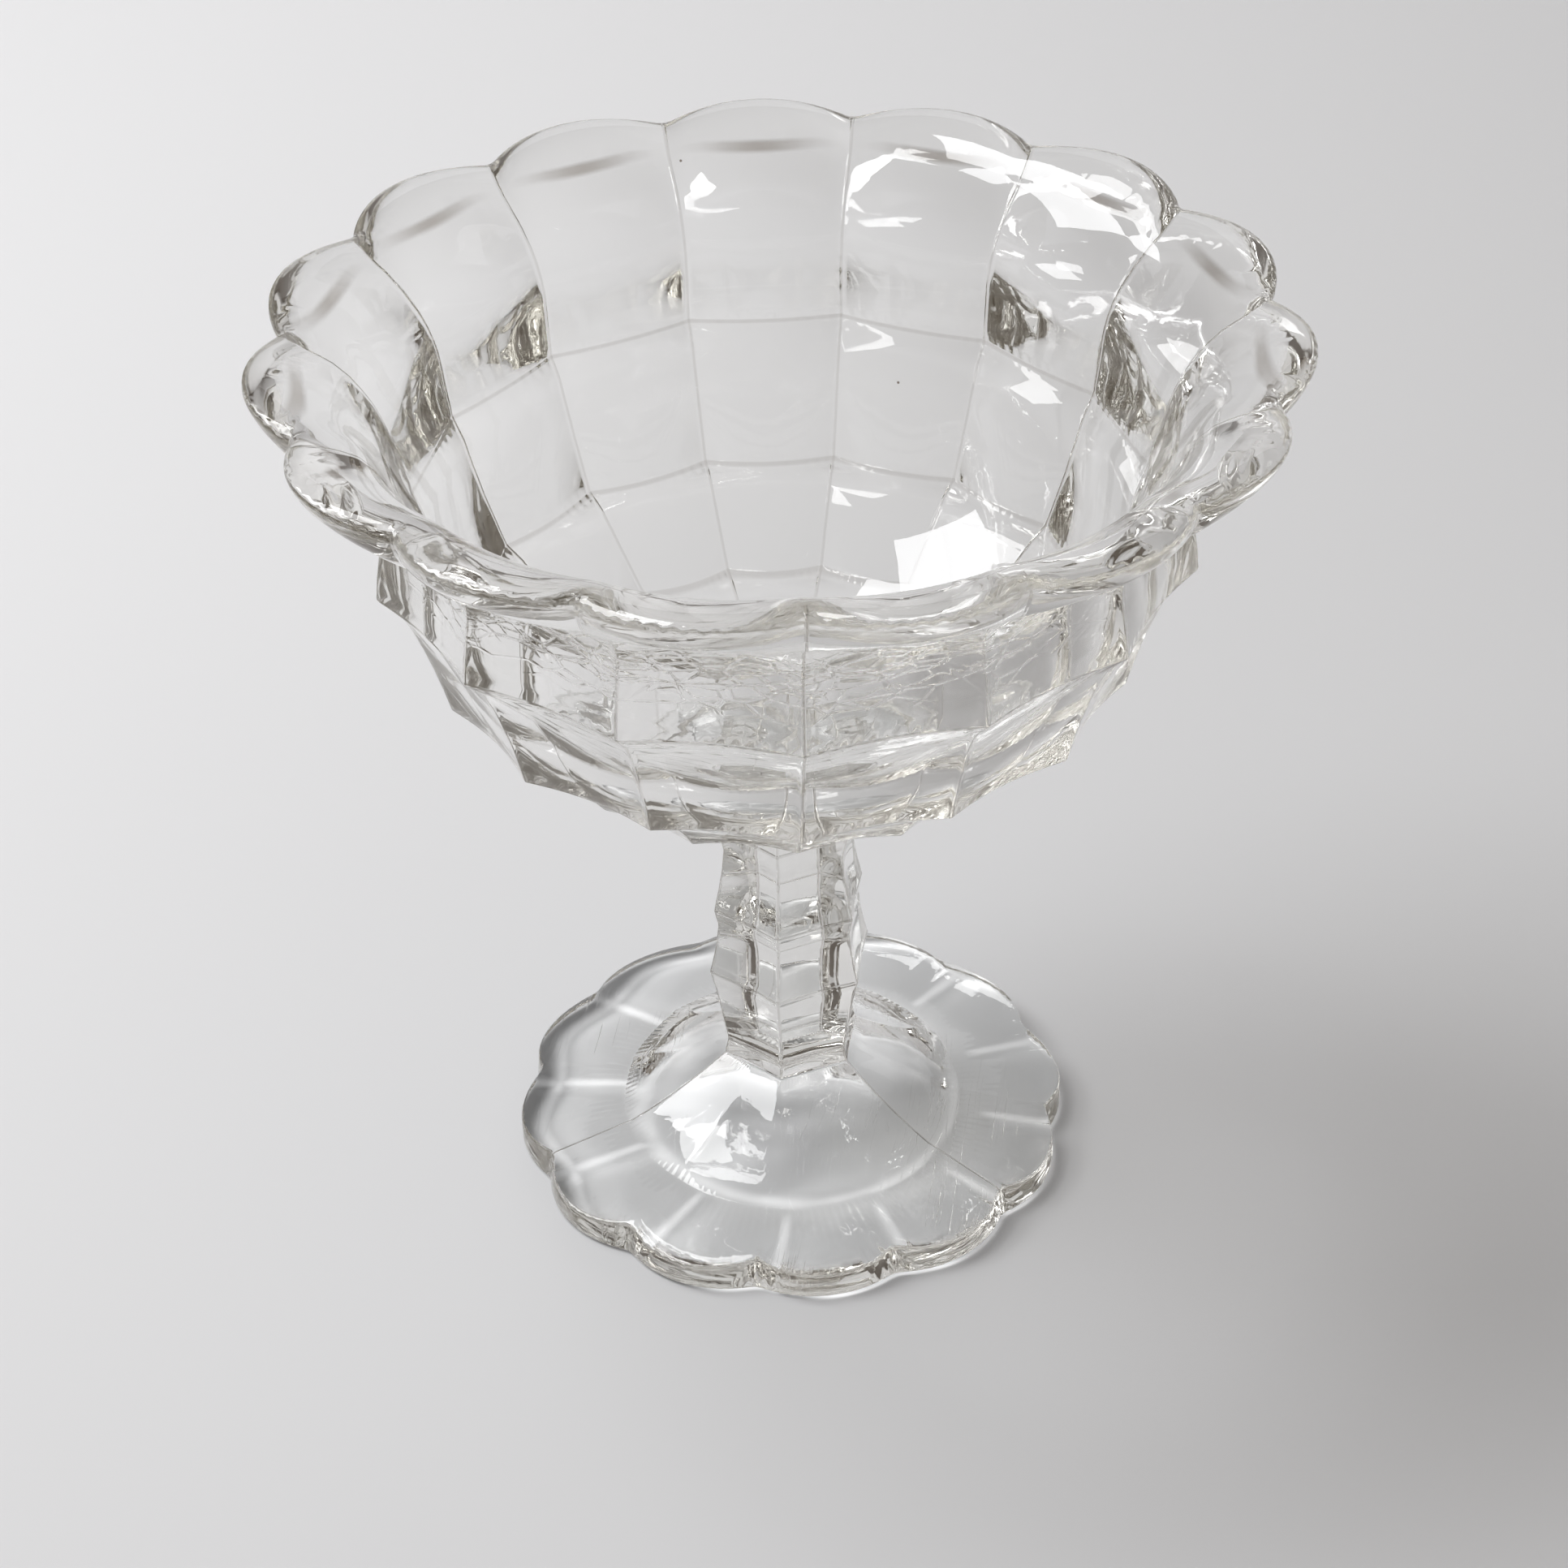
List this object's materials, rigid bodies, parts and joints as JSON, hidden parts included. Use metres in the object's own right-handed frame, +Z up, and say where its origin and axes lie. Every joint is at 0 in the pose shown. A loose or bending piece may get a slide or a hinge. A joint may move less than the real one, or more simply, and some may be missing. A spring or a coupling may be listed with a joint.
{
  "type": "glass pedestal bowl",
  "caption": "Clear pressed-glass pedestal bowl with a scalloped flared rim, scooped panels, a faceted stem and a fluted round foot",
  "frame": {"origin": "on the table, under the middle of the foot", "axes": "+Z up through the stem, -Y through a notch of the foot and a corner of the stem"},
  "size_m": [0.1729, 0.1727, 0.1662],
  "materials": {
    "clear_glass": "polished"
  },
  "bodies": {
    "root": {"bowl": "clear_glass", "joining_wafer": "clear_glass", "stem": "clear_glass", "foot": "clear_glass"}
  },
  "joints": []
}
